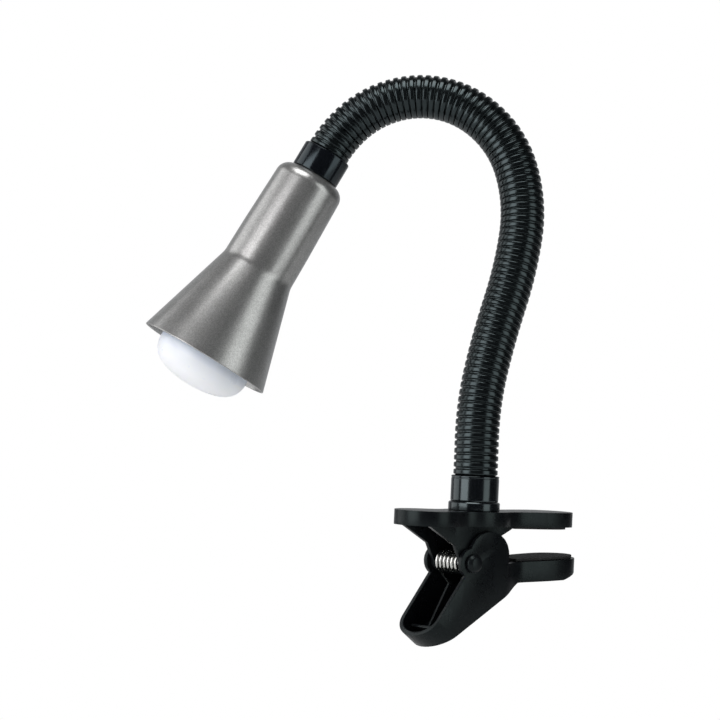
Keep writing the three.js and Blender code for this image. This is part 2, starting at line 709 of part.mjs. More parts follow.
// The outside of the shade from its back to its mouth, as [radius, z].
function shadeOutside(offset) {
  const points = [];
  const shoulderSteps = 4;
  for (let i = 0; i <= shoulderSteps; i++) {
    const angle = (i / shoulderSteps) * (Math.PI / 2);
    points.push([
      SHADE_TOP_R - SHADE_SHOULDER + SHADE_SHOULDER * Math.sin(angle) - offset,
      SHADE_BACK_Z + SHADE_SHOULDER * (1 - Math.cos(angle)) + (i === 0 ? offset : 0),
    ]);
  }
  const waistZ = MOUTH_Z - SHADE_CONE_LENGTH;
  points.push([SHADE_WAIST_R - 0.1 - offset, waistZ - 18]);
  points.push([SHADE_WAIST_R - offset, waistZ - 4]);
  points.push([SHADE_WAIST_R + 0.6 - offset, waistZ]);
  points.push([SHADE_WAIST_R + 2.2 - offset, waistZ + 5]);
  points.push([SHADE_MOUTH_R - offset, MOUTH_Z]);
  return points;
}

function shade() {
  const outside = shadeOutside(0);
  const inside = shadeOutside(SHADE_WALL).reverse();
  const hole = STUD_R + CLEARANCE;
  return turned([
    [hole, SHADE_BACK_Z],
    ...outside,
    ...inside,
    [hole, SHADE_BACK_Z + SHADE_WALL],
    [hole, SHADE_BACK_Z],
  ], 32);
}

const HOLDER_BACK_Z = SHADE_BACK_Z + SHADE_WALL + NUT_HEIGHT + 2;
const HOLDER_FRONT_Z = BULB_TIP_Z - BULB_GLASS_LENGTH - 1.5;
const BULB_CONTACT_Z = BULB_TIP_Z - BULB_LENGTH;

const headStud = () => ring(STUD_R, STUD_BORE_R, NECK_SPIGOT + 1.6, HOLDER_BACK_Z + 5, 20);

const holderBody = () =>
  turned([
    [STUD_R + CLEARANCE, HOLDER_BACK_Z],
    [HOLDER_R - HOLDER_WALL, HOLDER_BACK_Z],
    [HOLDER_R, HOLDER_BACK_Z + 2],
    [HOLDER_R, HOLDER_FRONT_Z - 1],
    [HOLDER_R - 1, HOLDER_FRONT_Z],
    [HOLDER_BORE_R, HOLDER_FRONT_Z],
    [HOLDER_BORE_R, BULB_CONTACT_Z - CONTACT_SPACE],
    [HOLDER_R - HOLDER_WALL, BULB_CONTACT_Z - CONTACT_SPACE],
    [HOLDER_R - HOLDER_WALL, HOLDER_BACK_Z + HOLDER_NECK],
    [STUD_R + CLEARANCE, HOLDER_BACK_Z + HOLDER_NECK],
    [STUD_R + CLEARANCE, HOLDER_BACK_Z],
  ]);

const screwShell = () =>
  ring(HOLDER_BORE_R - CLEARANCE, BULB_CAP_R + CLEARANCE, BULB_CONTACT_Z + 4, HOLDER_FRONT_Z - 2, 24);

const centreContact = () => new THREE.BoxGeometry(12, 4, 1).translate(0, 0, BULB_CONTACT_Z - 1.4);

const terminal = (x) => new THREE.BoxGeometry(4, 7, 8).translate(x, 0, HOLDER_BACK_Z + 14);

function bulbGlass() {
  const across = (share) => BULB_R * share;
  const outline = [
    [0, 0],
    [across(0.28), 0.35],
    [across(0.52), 1.5],
    [across(0.8), 4.6],
    [across(0.93), 7.7],
    [across(0.99), 10.8],
    [across(1), 14],
    [across(0.975), 19],
    [across(0.86), 31],
    [across(0.64), 45],
    [across(0.5), 54],
    [across(0.4), 59],
    [BULB_CAP_R, BULB_GLASS_LENGTH],
    [0, BULB_GLASS_LENGTH],
  ];
  return turned(outline.map(([r, back]) => [r, BULB_TIP_Z - back]).reverse(), 24);
}

const CAP_FRONT_Z = BULB_TIP_Z - BULB_GLASS_LENGTH - CLEARANCE;
const CAP_BACK_Z = BULB_CONTACT_Z + 5;
const INSULATOR_LENGTH = 3;
const CONTACT_R = 2.4;
const bulbCap = () => rod(BULB_CAP_R, CAP_BACK_Z, CAP_FRONT_Z, 24);
const bulbInsulator = () =>
  turned([
    [0, CAP_BACK_Z - INSULATOR_LENGTH],
    [CONTACT_R + 0.6, CAP_BACK_Z - INSULATOR_LENGTH],
    [BULB_CAP_R - 1, CAP_BACK_Z - CLEARANCE],
    [0, CAP_BACK_Z - CLEARANCE],
  ], 20);
const bulbContact = () => rod(CONTACT_R, BULB_CONTACT_Z, CAP_BACK_Z - INSULATOR_LENGTH - CLEARANCE, 16);

// ---------------------------------------------------------------- assembly
const lamp = new THREE.Group();
const clampFrame = new THREE.Group();
clampFrame.position.set(-PAD_CENTRE_X, 0, -PAD_FACE_Z);
lamp.add(clampFrame);

addTo(clampFrame, "clamp_upper", clampUpper(), FINISHES.clampPlastic);
addTo(clampFrame, "upper_jaw_pad", upperJawPad(), FINISHES.padRubber);
addTo(clampFrame, "clamp_lower", clampLower(), FINISHES.clampPlastic);
addTo(clampFrame, "lower_jaw_pad", lowerJawPad(), FINISHES.padRubber);
addTo(clampFrame, "pivot_pin", pivotPin(), FINISHES.steel);
addTo(clampFrame, "pivot_cap_near", pivotCap(-1), FINISHES.clampPlastic);
addTo(clampFrame, "pivot_cap_far", pivotCap(1), FINISHES.clampPlastic);
addTo(clampFrame, "torsion_spring", torsionSpring(), FINISHES.nickel);

const neckFrame = new THREE.Group();
neckFrame.position.x = NECK_X;
clampFrame.add(neckFrame);
addTo(neckFrame, "base_flange", baseFlange(), FINISHES.glossPlastic);
addTo(neckFrame, "base_sleeve", baseSleeve(), FINISHES.glossPlastic);
addTo(neckFrame, "mounting_stud", mountingStud(), FINISHES.steel);
addTo(neckFrame, "lock_washer", lockWasher(), FINISHES.steel);
addTo(neckFrame, "lock_nut", hexNut(WASHER_LOW_Z - NUT_HEIGHT - 0.2), FINISHES.steel);
addTo(neckFrame, "cord_bush", cordBush(), FINISHES.glossPlastic);

const links = neckLinks();
for (let i = 0; i <= HINGE_COUNT; i++) {
  addTo(neckFrame, "neck_sleeve_" + i, neckSleeve(links, i), FINISHES.sleevePlastic);
  addTo(neckFrame, "flex_core_" + i, flexCore(links, i), FINISHES.steel);
}

const head = new THREE.Group();
const neckEnd = links[HINGE_COUNT];
const headFrame = neckEnd.frameAt(1);
head.position.copy(neckEnd.getPoint(1));
head.quaternion.setFromRotationMatrix(
  new THREE.Matrix4().makeBasis(headFrame.inner, headFrame.side, headFrame.along),
);
neckFrame.add(head);
addTo(head, "head_collar", headCollar(), FINISHES.glossPlastic);
addTo(head, "shade", shade(), FINISHES.shadePaint);
addTo(head, "head_stud", headStud(), FINISHES.steel);
addTo(head, "head_nut", hexNut(SHADE_BACK_Z + SHADE_WALL + CLEARANCE), FINISHES.steel);
addTo(head, "holder_body", holderBody(), FINISHES.phenolic);
addTo(head, "screw_shell", screwShell(), FINISHES.brass);
addTo(head, "centre_contact", centreContact(), FINISHES.brass);
addTo(head, "terminal_live", terminal(-8), FINISHES.brass);
addTo(head, "terminal_neutral", terminal(8), FINISHES.brass);
addTo(head, "bulb_glass", bulbGlass(), FINISHES.frosted);
addTo(head, "bulb_cap", bulbCap(), FINISHES.nickel);
addTo(head, "bulb_insulator", bulbInsulator(), FINISHES.phenolic);
addTo(head, "bulb_contact", bulbContact(), FINISHES.brass);

export default lamp;
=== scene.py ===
"""Looks of the clip-on gooseneck reading lamp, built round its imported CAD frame."""

import json
import math
import random

import bmesh
import bpy
from mathutils import Matrix, Vector


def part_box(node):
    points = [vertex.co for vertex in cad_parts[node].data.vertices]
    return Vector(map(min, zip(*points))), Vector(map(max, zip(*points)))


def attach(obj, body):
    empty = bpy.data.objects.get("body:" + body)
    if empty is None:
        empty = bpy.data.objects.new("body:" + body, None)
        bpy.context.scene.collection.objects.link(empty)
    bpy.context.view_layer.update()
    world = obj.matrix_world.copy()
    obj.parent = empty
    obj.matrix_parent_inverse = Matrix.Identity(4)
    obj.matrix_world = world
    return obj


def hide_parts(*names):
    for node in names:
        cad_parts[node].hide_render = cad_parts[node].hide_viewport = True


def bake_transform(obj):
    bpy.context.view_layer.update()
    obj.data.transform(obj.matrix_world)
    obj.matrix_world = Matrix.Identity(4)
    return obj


MM = 0.001

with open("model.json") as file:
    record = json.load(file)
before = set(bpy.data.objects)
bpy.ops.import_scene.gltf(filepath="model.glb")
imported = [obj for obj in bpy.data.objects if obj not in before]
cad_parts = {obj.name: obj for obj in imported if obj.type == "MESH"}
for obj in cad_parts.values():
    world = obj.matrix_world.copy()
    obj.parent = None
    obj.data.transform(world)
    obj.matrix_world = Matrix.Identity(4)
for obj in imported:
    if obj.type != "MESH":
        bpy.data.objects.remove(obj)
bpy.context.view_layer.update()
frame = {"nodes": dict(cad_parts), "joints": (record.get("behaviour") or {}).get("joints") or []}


# ---------------------------------------------------------------- places taken from the frame
def centre_of(node):
    low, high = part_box(node)
    return (low + high) / 2


PLATE_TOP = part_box("clamp_upper")[1].z
# The neck's foot: on the neck's axis, level with the top of the clamp's plate.
FOOT = Vector((centre_of("base_sleeve").x, 0, PLATE_TOP))
JOINTS = {joint["name"]: joint for joint in frame["joints"]}
PIVOT = Vector(JOINTS["jaw_open"]["pos_m"])
# The middle of the clamp's body, on the plate's top face.
BODY_FROM_PIVOT = 12.5 * MM
BODY = Vector((PIVOT.x + BODY_FROM_PIVOT, 0, PLATE_TOP))

NECK_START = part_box("base_sleeve")[1].z
NECK_LENGTH = 285.8 * MM
HINGES = 8
LINK = NECK_LENGTH / HINGES
NECK_PLANE = math.radians(-38)
# Degrees that each arc curls over towards the head, and leans out of the neck's plane.
LINK_BEND = [0.5, -11.5, -4.5, 9, 24.5, 37, 41, 38.5, 15.5]
LINK_LEAN = [5.5, 5.5, 2, -0.5, 0, 3.5, 7, 7, 1]


class Link:
    """One arc of the neck: it turns its start frame about a fixed axis."""

    def __init__(self, start, along, inner, length, bend, lean):
        self.start, self.along, self.inner, self.length = start, along, inner, length
        side = along.cross(inner)
        turn = side * math.radians(bend) + inner * math.radians(lean)
        self.angle = turn.length
        self.axis = turn.normalized()

    def at(self, distance):
        share = min(max(distance / self.length, 0), 1)
        swept = self.angle * share
        radius = self.length / self.angle
        point = (
            self.start
            + self.along * (radius * math.sin(swept))
            + self.axis.cross(self.along) * (radius * (1 - math.cos(swept)))
        )
        turn = Matrix.Rotation(swept, 3, self.axis)
        along, inner = turn @ self.along, turn @ self.inner
        return point + along * (distance - share * self.length), along, inner


def neck_links():
    """The neck's arcs from its foot to the head, in the same steps as the CAD frame's joints."""
    along = Vector((0, 0, 1))
    inner = Vector((-math.cos(NECK_PLANE), -math.sin(NECK_PLANE), 0))
    start = Vector((FOOT.x, FOOT.y, NECK_START))
    links = []
    for i in range(HINGES + 1):
        length = LINK / 2 if i in (0, HINGES) else LINK
        link = Link(start, along, inner, length, LINK_BEND[i], LINK_LEAN[i])
        links.append(link)
        start, along, inner = link.at(length)
    return links


LINKS = neck_links()


def link_index(distance):
    """Which arc a distance along the neck falls on."""
    return min(max(int(math.floor(distance / LINK + 0.5)), 0), HINGES)


def neck_at(distance):
    """Point, direction and inward direction of the neck's axis, a distance along it from its foot."""
    i = link_index(distance)
    begins = 0 if i == 0 else (i - 0.5) * LINK
    return LINKS[i].at(distance - begins)


def neck_curvature(distance):
    """How sharply the neck turns there: a vector towards the centre of the bend, per metre."""
    link = LINKS[link_index(distance)]
    _, along, _ = neck_at(distance)
    return link.axis.cross(along) * (link.angle / link.length)


HEAD_POINT, HEAD_ALONG, HEAD_INNER = neck_at(NECK_LENGTH)
HEAD = Matrix.Translation(HEAD_POINT) @ Matrix(
    (HEAD_INNER, HEAD_ALONG.cross(HEAD_INNER), HEAD_ALONG)
).transposed().to_4x4()
FOOT_FRAME = Matrix.Translation(FOOT)
# Along the head's axis from the neck's end, in millimetres.
BACK_Z = 13.6
MOUTH_Z = 122.2
TIP_Z = 138.1
SILVER_START_Z = TIP_Z - 18
SILVER_FULL_Z = TIP_Z - 19.5
PIVOT_FRAME = Matrix.Translation(PIVOT) @ Matrix.Rotation(-math.pi / 2, 4, "X")


# ---------------------------------------------------------------- mesh builders
def mesh_object(name, vertices, faces, sharp_deg=40):
    """A new object in the scene from vertices in metres and their faces."""
    mesh = bpy.data.meshes.new(name)
    mesh.from_pydata([tuple(v) for v in vertices], [], faces)
    mesh.validate()
    made = bpy.data.objects.new(name, mesh)
    bpy.context.scene.collection.objects.link(made)
    tidy(made, sharp_deg)
    return made


def tidy(made, sharp_deg=40):
    """Faces that point outwards, smooth shading and sharp edges over the given angle."""
    bm = bmesh.new()
    bm.from_mesh(made.data)
    bmesh.ops.remove_doubles(bm, verts=bm.verts, dist=1e-6)
    bmesh.ops.recalc_face_normals(bm, faces=bm.faces)
    bm.to_mesh(made.data)
    bm.free()
    made.data.shade_smooth()
    made.data.set_sharp_from_angle(angle=math.radians(sharp_deg))


def rounded(points, radii, steps=5):
    """A polyline with its inner corners rounded. A radius of 0 keeps the corner."""
    out = [Vector(points[0])]
    for i in range(1, len(points) - 1):
        corner = Vector(points[i])
        radius = radii[i] if isinstance(radii, (list, tuple)) else radii
        a, b = Vector(points[i - 1]) - corner, Vector(points[i + 1]) - corner
        out.extend(round_corner(corner, a, b, radius, steps))
    out.append(Vector(points[-1]))
    return out


def round_corner(corner, a, b, radius, steps):
    """The arc that takes a corner's place; a and b lead from the corner to its neighbours."""
    if radius <= 0 or a.length < 1e-9 or b.length < 1e-9:
        return [corner]
    ua, ub = a.normalized(), b.normalized()
    angle = ua.angle(ub, math.pi)
    if angle > math.pi - 0.02:
        return [corner]
    reach = min(radius / math.tan(angle / 2), a.length * 0.499, b.length * 0.499)
    radius = reach * math.tan(angle / 2)
    centre = corner + (ua + ub).normalized() * (radius / math.sin(angle / 2))
    start, end = corner + ua * reach - centre, corner + ub * reach - centre
    sweep = math.pi - angle
    points = []
    for k in range(steps + 1):
        t = k / steps
        weight_a = math.sin((1 - t) * sweep) / math.sin(sweep)
        weight_b = math.sin(t * sweep) / math.sin(sweep)
        points.append(centre + start * weight_a + end * weight_b)
    return points


def lathe(name, profile, segments=96, matrix=None, sharp_deg=40, closed=False):
    """Turns a profile of (radius, z) in millimetres about z. Points on the axis become poles."""
    rings, vertices, faces = [], [], []
    for radius, z in profile:
        if radius < 1e-6:
            rings.append([len(vertices)])
            vertices.append(Vector((0, 0, z * MM)))
            continue
        ring = []
        for k in range(segments):
            angle = 2 * math.pi * k / segments
            ring.append(len(vertices))
            vertices.append(Vector((radius * math.cos(angle), radius * math.sin(angle), z)) * MM)
        rings.append(ring)
    pairs = list(zip(rings, rings[1:]))
    if closed:
        pairs.append((rings[-1], rings[0]))
    for low, high in pairs:
        faces.extend(band(low, high))
    if matrix is not None:
        vertices = [matrix @ v for v in vertices]
    return mesh_object(name, vertices, faces, sharp_deg)


def band(low, high):
    """Faces between two rings of vertices; either may be a single pole."""
    if len(low) == 1 and len(high) == 1:
        return []
    count = max(len(low), len(high))
    faces = []
    for k in range(count):
        n = (k + 1) % count
        if len(low) == 1:
            faces.append((low[0], high[n], high[k]))
        elif len(high) == 1:
            faces.append((low[k], low[n], high[0]))
        else:
            faces.append((low[k], low[n], high[n], high[k]))
    return faces


def tube(name, centres, radius, sides=12, sharp_deg=60):
    """A round wire along a list of points, with domed ends."""
    rings, vertices = [], []
    count = len(centres)
    direction = (centres[1] - centres[0]).normalized()
    across = direction.orthogonal().normalized()

    def add_ring(centre, r, u, v):
        ring = []
        for k in range(sides):
            angle = 2 * math.pi * k / sides
            ring.append(len(vertices))
            vertices.append(centre + (u * math.cos(angle) + v * math.sin(angle)) * r)
        rings.append(ring)

    for i, centre in enumerate(centres):
        ahead = centres[min(i + 1, count - 1)] - centres[max(i - 1, 0)]
        new_direction = ahead.normalized()
        across = (across - new_direction * across.dot(new_direction)).normalized()
        direction = new_direction
        side = direction.cross(across)
        if i == 0:
            rings.append([len(vertices)])
            vertices.append(centre - direction * radius * 0.6)
            add_ring(centre - direction * radius * 0.4, radius * 0.7, across, side)
        add_ring(centre, radius, across, side)
        if i == count - 1:
            add_ring(centre + direction * radius * 0.4, radius * 0.7, across, side)
            rings.append([len(vertices)])
            vertices.append(centre + direction * radius * 0.6)
    faces = []
    for low, high in zip(rings, rings[1:]):
        faces.extend(band(low, high))
    return mesh_object(name, vertices, faces, sharp_deg)


# ---------------------------------------------------------------- materials
def new_material(name):
    """An empty material with its node tree, its links and its main shader."""
    material = bpy.data.materials.new(name)
    material.use_nodes = True
    nodes, links = material.node_tree.nodes, material.node_tree.links
    shader = nodes["Principled BSDF"]
    return material, nodes, links, shader


def noise(nodes, links, vector, scale, detail=3.0, roughness=0.55, stretch=None):
    node = nodes.new("ShaderNodeTexNoise")
    node.inputs["Scale"].default_value = scale
    node.inputs["Detail"].default_value = detail
    node.inputs["Roughness"].default_value = roughness
    if stretch:
        mapping = nodes.new("ShaderNodeMapping")
        mapping.inputs["Scale"].default_value = stretch
        links.new(vector, mapping.inputs["Vector"])
        vector = mapping.outputs["Vector"]
    links.new(vector, node.inputs["Vector"])
    return node.outputs["Fac"]


def ramp(nodes, links, factor, stops):
    """Maps a factor to colours or grey values at the given positions."""
    node = nodes.new("ShaderNodeValToRGB")
    elements = node.color_ramp.elements
    while len(elements) > len(stops):
        elements.remove(elements[-1])
    while len(elements) < len(stops):
        elements.new(0.5)
    for element, (position, value) in zip(elements, stops):
        element.position = position
        colour = value if isinstance(value, (tuple, list)) else (value, value, value)
        element.color = (*colour, 1)
    links.new(factor, node.inputs["Fac"])
    return node.outputs["Color"]


def bump(nodes, links, height, strength, distance, below=None):
    """A bumped normal, laid over another one if it is given."""
    node = nodes.new("ShaderNodeBump")
    node.inputs["Strength"].default_value = strength
    node.inputs["Distance"].default_value = distance
    links.new(height, node.inputs["Height"])
    if below is not None:
        links.new(below, node.inputs["Normal"])
    return node.outputs["Normal"]


def multiply(nodes, links, first, second):
    """The product of two colours."""
    mix = nodes.new("ShaderNodeMix")
    mix.data_type = "RGBA"
    mix.blend_type = "MULTIPLY"
    mix.inputs["Factor"].default_value = 1.0
    links.new(first, mix.inputs["A"])
    links.new(second, mix.inputs["B"])
    return mix.outputs["Result"]


def remap(nodes, links, value, start, end, low=0.0, high=1.0):
    """Runs from low to high as the value goes from start to end, and stays there beyond them."""
    node = nodes.new("ShaderNodeMapRange")
    node.inputs["From Min"].default_value = start
    node.inputs["From Max"].default_value = end
    node.inputs["To Min"].default_value = low
    node.inputs["To Max"].default_value = high
    links.new(value, node.inputs["Value"])
    return node.outputs["Result"]


def surface(name, dark, light, rough, metallic=0.0, patch=60.0, grain=2500.0, grain_depth=0.02,
            scratches=0.0, specular=0.5, sheen_colour=(1, 1, 1)):
    """A moulded, painted or plated finish: uneven colour, uneven gloss, fine grain and faint scratches."""
    material, nodes, links, shader = new_material(name)
    where = nodes.new("ShaderNodeTexCoord").outputs["Object"]
    blotch = noise(nodes, links, where, patch, 5.0, 0.6)
    links.new(ramp(nodes, links, blotch, [(0.3, dark), (0.7, light)]), shader.inputs["Base Color"])
    smear = noise(nodes, links, where, patch * 2.3, 6.0, 0.7)
    low, high = rough
    gloss = ramp(nodes, links, smear, [(0.3, low), (0.75, high)])
    if scratches:
        fine = noise(nodes, links, where, 900.0, 2.0, 0.5, stretch=(1.0, 1.0, 0.04))
        line = ramp(nodes, links, fine, [(0.62, 0.0), (0.7, scratches)])
        add = nodes.new("ShaderNodeMath")
        add.operation = "ADD"
        links.new(gloss, add.inputs[0])
        links.new(line, add.inputs[1])
        gloss = add.outputs["Value"]
    links.new(gloss, shader.inputs["Roughness"])
    shader.inputs["Metallic"].default_value = metallic
    shader.inputs["Specular IOR Level"].default_value = specular
    shader.inputs["Specular Tint"].default_value = (*sheen_colour, 1)
    height = noise(nodes, links, where, grain, 2.0, 0.5)
    links.new(bump(nodes, links, height, 0.35, grain_depth * MM), shader.inputs["Normal"])
    return material


CLAMP_PLASTIC = surface("clamp_plastic_black", (0.003, 0.0035, 0.0045), (0.006, 0.0065, 0.008),
                        (0.24, 0.36), patch=70, grain=1600, grain_depth=0.03, scratches=0.10,
                        specular=0.22, sheen_colour=(0.76, 0.95, 0.93))
SLEEVE_PLASTIC = surface("sleeve_plastic_black", (0.003, 0.0035, 0.005), (0.006, 0.0065, 0.008),
                         (0.13, 0.22), patch=80, grain=1200, grain_depth=0.012, scratches=0.06,
                         specular=0.7, sheen_colour=(0.80, 0.97, 1.0))
COLLAR_PLASTIC = surface("collar_plastic_black", (0.003, 0.0035, 0.005), (0.006, 0.0065, 0.009),
                         (0.11, 0.20), patch=80, grain=1200, grain_depth=0.012, scratches=0.06,
                         sheen_colour=(0.74, 0.92, 1.0))
NECK_VINYL = surface("neck_vinyl_black", (0.0025, 0.0032, 0.0036), (0.0055, 0.0065, 0.007), (0.17, 0.24),
                     patch=90, grain=2200, grain_depth=0.012, scratches=0.05, specular=0.55,
                     sheen_colour=(0.76, 0.96, 1.0))
PAD_RUBBER = surface("pad_rubber_black", (0.018, 0.018, 0.019), (0.034, 0.034, 0.035), (0.62, 0.82),
                     patch=120, grain=3000, grain_depth=0.12, specular=0.3)
NICKEL = surface("spring_nickel_bright", (0.66, 0.66, 0.63), (0.80, 0.80, 0.77), (0.12, 0.26),
                 metallic=1.0, patch=200, grain=2600, grain_depth=0.01)
STEEL = surface("hardware_zinc_steel", (0.46, 0.47, 0.49), (0.62, 0.63, 0.64), (0.28, 0.45),
                metallic=1.0, patch=150, grain=2400, grain_depth=0.02, scratches=0.1)
BRASS = surface("contact_brass_plain", (0.55, 0.42, 0.18), (0.74, 0.60, 0.30), (0.25, 0.42),
                metallic=1.0, patch=150, grain=2400, grain_depth=0.02)
PHENOLIC = surface("holder_phenolic_brown", (0.018, 0.013, 0.010), (0.034, 0.025, 0.018), (0.30, 0.45),
                   patch=120, grain=1500, grain_depth=0.03)


def shade_paint():
    """Satin metallic lacquer with fine flakes."""
    material, nodes, links, shader = new_material("shade_titan_lacquer")
    where = nodes.new("ShaderNodeTexCoord").outputs["Object"]
    blotch = noise(nodes, links, where, 30.0, 4.0, 0.5)
    base = ramp(nodes, links, blotch, [(0.3, (0.408, 0.406, 0.400)), (0.7, (0.455, 0.453, 0.446))])
    flakes = nodes.new("ShaderNodeTexVoronoi")
    flakes.inputs["Scale"].default_value = 2600.0
    links.new(where, flakes.inputs["Vector"])
    sparkle = ramp(nodes, links, flakes.outputs["Color"], [(0.2, 0.82), (0.85, 1.22)])
    links.new(multiply(nodes, links, base, sparkle), shader.inputs["Base Color"])
    smear = noise(nodes, links, where, 90.0, 6.0, 0.65)
    links.new(ramp(nodes, links, smear, [(0.3, 0.29), (0.75, 0.35)]), shader.inputs["Roughness"])
    shader.inputs["Metallic"].default_value = 0.80
    shader.inputs["Coat Weight"].default_value = 0.25
    shader.inputs["Coat Roughness"].default_value = 0.22
    peel = bump(nodes, links, noise(nodes, links, where, 420.0, 2.0, 0.5), 0.25, 0.02 * MM)
    grain = noise(nodes, links, where, 3200.0, 2.0, 0.5)
    links.new(bump(nodes, links, grain, 0.4, 0.02 * MM, below=peel), shader.inputs["Normal"])
    return material


def frosted_glass():
    """A reflector lamp's glass: frosted white at its tip, with painted shade that darkens it to blue-grey
    towards the shade's mouth, and silvered from its shoulder back to its cap.
    """
    material, nodes, links, shader = new_material("bulb_frosted_white_painted_shade")
    where = nodes.new("ShaderNodeTexCoord").outputs["Object"]
    along = nodes.new("ShaderNodeMapping")
    along.vector_type = "TEXTURE"
    along.inputs["Location"].default_value = HEAD.to_translation()
    along.inputs["Rotation"].default_value = HEAD.to_euler()
    links.new(where, along.inputs["Vector"])
    split = nodes.new("ShaderNodeSeparateXYZ")
    links.new(along.outputs["Vector"], split.inputs["Vector"])
    height = split.outputs["Z"]
    forward = remap(nodes, links, height, MOUTH_Z * MM, TIP_Z * MM)
    # Painted shade: the glass's colour darkens from white at the tip to blue-grey at the mouth, where the
    # shade shadows it.
    frost_and_painted_shade = ramp(nodes, links, forward,
                    [(0.0, (0.56, 0.62, 0.72)), (0.3, (0.84, 0.87, 0.92)), (0.8, (0.90, 0.91, 0.93))])
    blotch = noise(nodes, links, where, 40.0, 3.0, 0.5)
    # Random mottling laid over the painted shade.
    mottle_and_painted_shade = multiply(nodes, links, frost_and_painted_shade, ramp(nodes, links, blotch, [(0.3, 0.96), (0.7, 1.0)]))
    silvered = remap(nodes, links, height, SILVER_START_Z * MM, SILVER_FULL_Z * MM)
    colour = nodes.new("ShaderNodeMix")
    colour.data_type = "RGBA"
    links.new(silvered, colour.inputs["Factor"])
    links.new(mottle_and_painted_shade, colour.inputs["A"])
    colour.inputs["B"].default_value = (0.74, 0.75, 0.76, 1)
    links.new(colour.outputs["Result"], shader.inputs["Base Color"])
    links.new(silvered, shader.inputs["Metallic"])
    smear = noise(nodes, links, where, 120.0, 5.0, 0.6)
    gloss = nodes.new("ShaderNodeMath")
    gloss.operation = "MULTIPLY_ADD"
    links.new(silvered, gloss.inputs[0])
    gloss.inputs[1].default_value = -0.16
    links.new(ramp(nodes, links, smear, [(0.3, 0.26), (0.75, 0.38)]), gloss.inputs[2])
    links.new(gloss.outputs["Value"], shader.inputs["Roughness"])
    shader.inputs["Subsurface Weight"].default_value = 0.35
    shader.inputs["Subsurface Radius"].default_value = (0.010, 0.011, 0.014)
    shader.inputs["Subsurface Scale"].default_value = 0.6
    shader.inputs["Emission Color"].default_value = (0.90, 0.94, 1.0, 1)
    glow = remap(nodes, links, height, MOUTH_Z * MM, TIP_Z * MM, 0.12, 0.14)
    links.new(glow, shader.inputs["Emission Strength"])
    frost = noise(nodes, links, where, 2600.0, 2.0, 0.5)
    links.new(bump(nodes, links, frost, 0.3, 0.015 * MM), shader.inputs["Normal"])
    return material


SHADE_PAINT = shade_paint()
FROSTED = frosted_glass()


def give(piece, material, body, slot, *nodes):
    """Gives a piece its finish, the body it rides on and the CAD nodes it stands for; the record slot
    argument is not used.
    """
    piece.data.materials.clear()
    piece.data.materials.append(material)
    if body is not None:
        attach(piece, body)
    if nodes:
        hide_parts(*nodes)
    return piece


# ---------------------------------------------------------------- neck
RIB_PITCH = 3.52 * MM
RIB_COUNT = round(NECK_LENGTH / RIB_PITCH)
CREST_R = 11.1 * MM
VALLEY_R = 10.1 * MM
CREST_WIDTH = 2.5 * MM
NECK_INNER_R = 8.3 * MM
NECK_SEGMENTS = 56
GROOVE_ROUND = 0.22 * MM
RIB_TILT = 0.10 * MM
RIB_SHIFT = 0.05 * MM
# The mould's parting line runs along the neck as a faint raised seam.
SEAM_ANGLE = 1.1
SEAM_SPREAD = 0.035
SEAM_HEIGHT = 0.10 * MM


def neck_cover(k):
    """The corrugated cover from the middle of link k - 1 to the middle of link k, across hinge k."""
    pitch = NECK_LENGTH / RIB_COUNT
    first = 0 if k == 1 else round((k - 1) * LINK / pitch)
    last = RIB_COUNT if k == HINGES else round(k * LINK / pitch)
    dice = random.Random(11)
    # Each rib's tilt, its shift along the neck and the direction that it tilts in.
    wobble = [(dice.uniform(-1, 1), dice.uniform(-1, 1), dice.uniform(0, 2 * math.pi))
              for _ in range(RIB_COUNT)]
    half = CREST_WIDTH / 2
    depth = CREST_R - VALLEY_R
    soft = GROOVE_ROUND
    # (offset from the rib's middle as a share of half the crest, extra offset, radius)
    section = [
        (-1.0, -soft, VALLEY_R + 0.04 * depth),
        (-1.0, 0.0, VALLEY_R + 0.30 * depth),
        (-0.96, 0.0, VALLEY_R + 0.78 * depth),
        (-0.82, 0.0, CREST_R - 0.06 * depth),
        (-0.55, 0.0, CREST_R),
        (0.0, 0.0, CREST_R + 0.02 * depth),
        (0.55, 0.0, CREST_R),
        (0.82, 0.0, CREST_R - 0.06 * depth),
        (0.96, 0.0, VALLEY_R + 0.78 * depth),
        (1.0, 0.0, VALLEY_R + 0.30 * depth),
        (1.0, soft, VALLEY_R + 0.04 * depth),
    ]
    vertices, rings = [], []

    def add_ring(middle, offset, radius, lean=None):
        """One ring of the skin: a crest keeps its width round the bend and the grooves stretch."""
        point, along, inner = neck_at(middle)
        side = along.cross(inner)
        curl = neck_curvature(middle)
        ring = []
        for n in range(NECK_SEGMENTS):
            angle = 2 * math.pi * n / NECK_SEGMENTS
            out = inner * math.cos(angle) + side * math.sin(angle)
            stretch = 1 - out.dot(curl) * radius
            shift = offset / max(stretch, 0.55)
            if lean:
                shift += lean[0] * math.cos(angle - lean[2]) * RIB_TILT
            at, ahead, _ = neck_at(middle + shift)
            ahead_out = (out - ahead * out.dot(ahead)).normalized()
            from_seam = (angle - SEAM_ANGLE + math.pi) % (2 * math.pi) - math.pi
            seam = SEAM_HEIGHT * math.exp(-((from_seam / SEAM_SPREAD) ** 2))
            ring.append(len(vertices))
            vertices.append(at + ahead_out * (radius + seam))
        rings.append(ring)

    add_ring(first * pitch, 0, VALLEY_R)
    for rib in range(first, last):
        lean = wobble[rib]
        middle = (rib + 0.5) * pitch + lean[1] * RIB_SHIFT
        for share, extra, radius in section:
            add_ring(middle, share * half + extra, radius, lean)
        if rib < last - 1:
            add_ring((rib + 1) * pitch, 0, VALLEY_R)
    add_ring(last * pitch, 0, VALLEY_R)
    steps = 8
    for i in range(steps, -1, -1):
        add_ring((first + (last - first) * i / steps) * pitch, 0, NECK_INNER_R)
    faces = []
    for low, high in zip(rings, rings[1:] + rings[:1]):
        faces.extend(band(low, high))
    cover = mesh_object(f"neck_cover_{k}", vertices, faces, sharp_deg=70)
    return cover, first * pitch, last * pitch


